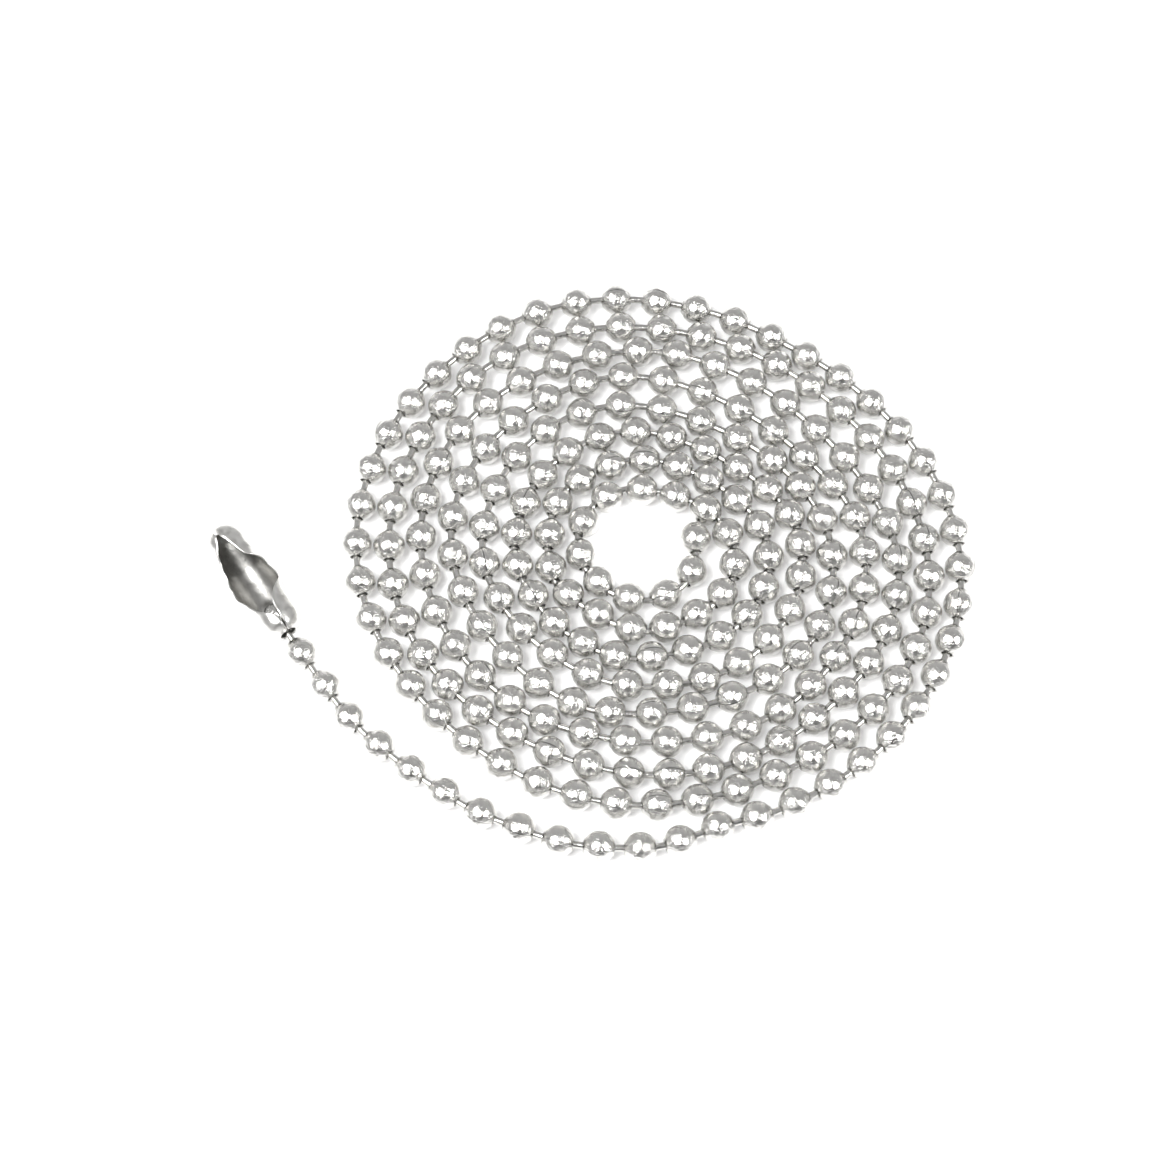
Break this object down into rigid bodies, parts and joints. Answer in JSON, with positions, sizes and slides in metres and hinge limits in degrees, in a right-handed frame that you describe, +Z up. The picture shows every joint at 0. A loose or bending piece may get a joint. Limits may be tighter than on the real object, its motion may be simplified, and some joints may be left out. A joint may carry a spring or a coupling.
{
  "type": "ball chain with clasp",
  "caption": "Ball chain of hollow beads on dumbbell pins, wound in a flat spiral, with a rolled sheet clasp at the end of its tail.",
  "frame": {"origin": "middle of the bottom face of the whole object, where it rests on a flat surface", "axes": "+Z up out of the surface; +X along the longest side, from the clasp's side of the spiral to the far side; +Y completes the frame, with the tail on the -Y side"},
  "size_m": [0.0568, 0.0464, 0.0032],
  "materials": {
    "bead_nickel": "bright nickel plate, mirror polished, with fine dents",
    "pin_nickel": "bright nickel plated wire",
    "clasp_nickel": "satin bright nickel plate on rolled sheet"
  },
  "bodies": {
    "coil": {"beads_turn_1": "bead_nickel", "beads_turn_2": "bead_nickel", "beads_turn_3": "bead_nickel", "beads_turn_4": "bead_nickel", "beads_turn_5": "bead_nickel", "beads_turn_6": "bead_nickel", "beads_turn_7": "bead_nickel", "beads_turn_8": "bead_nickel", "links_turn_1": "pin_nickel", "links_turn_2": "pin_nickel", "links_turn_3": "pin_nickel", "links_turn_4": "pin_nickel", "links_turn_5": "pin_nickel", "links_turn_6": "pin_nickel", "links_turn_7": "pin_nickel", "links_turn_8": "pin_nickel"},
    "tail_link_12": {"tail_link_12": "pin_nickel"},
    "tail_bead_11": {"tail_bead_11": "bead_nickel"},
    "tail_link_11": {"tail_link_11": "pin_nickel"},
    "tail_bead_10": {"tail_bead_10": "bead_nickel"},
    "tail_link_10": {"tail_link_10": "pin_nickel"},
    "tail_bead_09": {"tail_bead_09": "bead_nickel"},
    "tail_link_09": {"tail_link_09": "pin_nickel"},
    "tail_bead_08": {"tail_bead_08": "bead_nickel"},
    "tail_link_08": {"tail_link_08": "pin_nickel"},
    "tail_bead_07": {"tail_bead_07": "bead_nickel"},
    "tail_link_07": {"tail_link_07": "pin_nickel"},
    "tail_bead_06": {"tail_bead_06": "bead_nickel"},
    "tail_link_06": {"tail_link_06": "pin_nickel"},
    "tail_bead_05": {"tail_bead_05": "bead_nickel"},
    "tail_link_05": {"tail_link_05": "pin_nickel"},
    "tail_bead_04": {"tail_bead_04": "bead_nickel"},
    "tail_link_04": {"tail_link_04": "pin_nickel"},
    "tail_bead_03": {"tail_bead_03": "bead_nickel"},
    "tail_link_03": {"tail_link_03": "pin_nickel"},
    "tail_bead_02": {"tail_bead_02": "bead_nickel"},
    "tail_link_02": {"tail_link_02": "pin_nickel"},
    "tail_bead_01": {"tail_bead_01": "bead_nickel"},
    "tail_link_01": {"tail_link_01": "pin_nickel"},
    "clasp_bead": {"clasp_bead": "bead_nickel"},
    "clasp": {"clasp": "clasp_nickel"},
    "free_end_link": {"free_end_link": "pin_nickel"},
    "free_end_bead": {"free_end_bead": "bead_nickel"}
  },
  "joints": [
    {"name": "tail_link_12_turn", "type": "hinge", "parent": "coil", "child": "tail_link_12", "pos_m": [0.00526, -0.02181, 0.0012], "axis": [0, 0, 1], "range_deg": [-6, 20]},
    {"name": "tail_bead_11_turn", "type": "hinge", "parent": "tail_link_12", "child": "tail_bead_11", "pos_m": [0.00441, -0.02194, 0.0012], "axis": [0, 0, 1], "range_deg": [-6, 20]},
    {"name": "tail_link_11_turn", "type": "hinge", "parent": "tail_bead_11", "child": "tail_link_11", "pos_m": [0.00237, -0.02203, 0.0012], "axis": [0, 0, -1], "range_deg": [-20, 7]},
    {"name": "tail_bead_10_lift", "type": "hinge", "parent": "tail_link_11", "child": "tail_bead_10", "pos_m": [0.00151, -0.02197, 0.0012], "axis": [0.0721, 0.9974, 0], "range_deg": [0, 20]},
    {"name": "tail_link_10_turn", "type": "hinge", "parent": "tail_bead_10", "child": "tail_link_10", "pos_m": [-0.00052, -0.02181, 0.0012], "axis": [0, 0, -1], "range_deg": [-20, 8]},
    {"name": "tail_bead_09_turn", "type": "hinge", "parent": "tail_link_10", "child": "tail_bead_09", "pos_m": [-0.00141, -0.02172, 0.0012], "axis": [0, 0, 1], "range_deg": [-8, 20]},
    {"name": "tail_link_09_turn", "type": "hinge", "parent": "tail_bead_09", "child": "tail_link_09", "pos_m": [-0.00339, -0.02124, 0.0012], "axis": [0, 0, 1], "range_deg": [-9, 20]},
    {"name": "tail_bead_08_turn", "type": "hinge", "parent": "tail_link_09", "child": "tail_bead_08", "pos_m": [-0.00423, -0.02089, 0.0012], "axis": [0, 0, -1], "range_deg": [-20, 9]},
    {"name": "tail_link_08_turn", "type": "hinge", "parent": "tail_bead_08", "child": "tail_link_08", "pos_m": [-0.00613, -0.02016, 0.0012], "axis": [0, 0, -1], "range_deg": [-20, 9]},
    {"name": "tail_bead_07_lift", "type": "hinge", "parent": "tail_link_08", "child": "tail_bead_07", "pos_m": [-0.00701, -0.01985, 0.0012], "axis": [0.3317, 0.9434, 0], "range_deg": [0, 20]},
    {"name": "tail_link_07_turn", "type": "hinge", "parent": "tail_bead_07", "child": "tail_link_07", "pos_m": [-0.00884, -0.01898, 0.0012], "axis": [0, 0, 1], "range_deg": [-10, 20]},
    {"name": "tail_bead_06_turn", "type": "hinge", "parent": "tail_link_07", "child": "tail_bead_06", "pos_m": [-0.00965, -0.01848, 0.0012], "axis": [0, 0, 1], "range_deg": [-11, 20]},
    {"name": "tail_link_06_turn", "type": "hinge", "parent": "tail_bead_06", "child": "tail_link_06", "pos_m": [-0.01136, -0.01737, 0.0012], "axis": [0, 0, -1], "range_deg": [-20, 12]},
    {"name": "tail_bead_05_turn", "type": "hinge", "parent": "tail_link_06", "child": "tail_bead_05", "pos_m": [-0.01215, -0.01682, 0.0012], "axis": [0, 0, -1], "range_deg": [-20, 13]},
    {"name": "tail_link_05_turn", "type": "hinge", "parent": "tail_bead_05", "child": "tail_link_05", "pos_m": [-0.01378, -0.01559, 0.0012], "axis": [0, 0, 1], "range_deg": [-14, 20]},
    {"name": "tail_bead_04_lift", "type": "hinge", "parent": "tail_link_05", "child": "tail_bead_04", "pos_m": [-0.01454, -0.01497, 0.0012], "axis": [0.632, 0.7749, 0], "range_deg": [0, 20]},
    {"name": "tail_link_04_turn", "type": "hinge", "parent": "tail_bead_04", "child": "tail_link_04", "pos_m": [-0.01608, -0.01364, 0.0012], "axis": [0, 0, 1], "range_deg": [-18, 20]},
    {"name": "tail_bead_03_turn", "type": "hinge", "parent": "tail_link_04", "child": "tail_bead_03", "pos_m": [-0.01683, -0.01296, 0.0012], "axis": [0, 0, -1], "range_deg": [-20, 19]},
    {"name": "tail_link_03_turn", "type": "hinge", "parent": "tail_bead_03", "child": "tail_link_03", "pos_m": [-0.01817, -0.01143, 0.0012], "axis": [0, 0, -1], "range_deg": [-20, 20]},
    {"name": "tail_bead_02_turn", "type": "hinge", "parent": "tail_link_03", "child": "tail_bead_02", "pos_m": [-0.01875, -0.01058, 0.00122], "axis": [0, 0, 1], "range_deg": [-20, 20]},
    {"name": "tail_link_02_turn", "type": "hinge", "parent": "tail_bead_02", "child": "tail_link_02", "pos_m": [-0.01992, -0.00891, 0.00118], "axis": [0, 0, 1], "range_deg": [-20, 20]},
    {"name": "tail_bead_01_lift", "type": "hinge", "parent": "tail_link_02", "child": "tail_bead_01", "pos_m": [-0.02053, -0.00806, 0.00114], "axis": [0.8155, 0.5788, 0], "range_deg": [0, 20]},
    {"name": "tail_link_01_turn", "type": "hinge", "parent": "tail_bead_01", "child": "tail_link_01", "pos_m": [-0.02168, -0.00639, 0.00126], "axis": [0, 0, -1], "range_deg": [-20, 20]},
    {"name": "clasp_bead_turn", "type": "hinge", "parent": "tail_link_01", "child": "clasp_bead", "pos_m": [-0.02228, -0.00549, 0.00145], "axis": [0, 0, -1], "range_deg": [-20, 20]},
    {"name": "clasp_swivel", "type": "hinge", "parent": "clasp_bead", "child": "clasp", "pos_m": [-0.02284, -0.00466, 0.00162], "axis": [-0.5592, 0.829, 0], "continuous": true},
    {"name": "free_end_link_turn", "type": "hinge", "parent": "coil", "child": "free_end_link", "pos_m": [0.0077, 0.00024, 0.0012], "axis": [0, 0, 1], "range_deg": [0, 5]},
    {"name": "free_end_bead_turn", "type": "hinge", "parent": "free_end_link", "child": "free_end_bead", "pos_m": [0.00767, 0.00092, 0.0012], "axis": [0, 0, 1], "range_deg": [0, 20]}
  ]
}
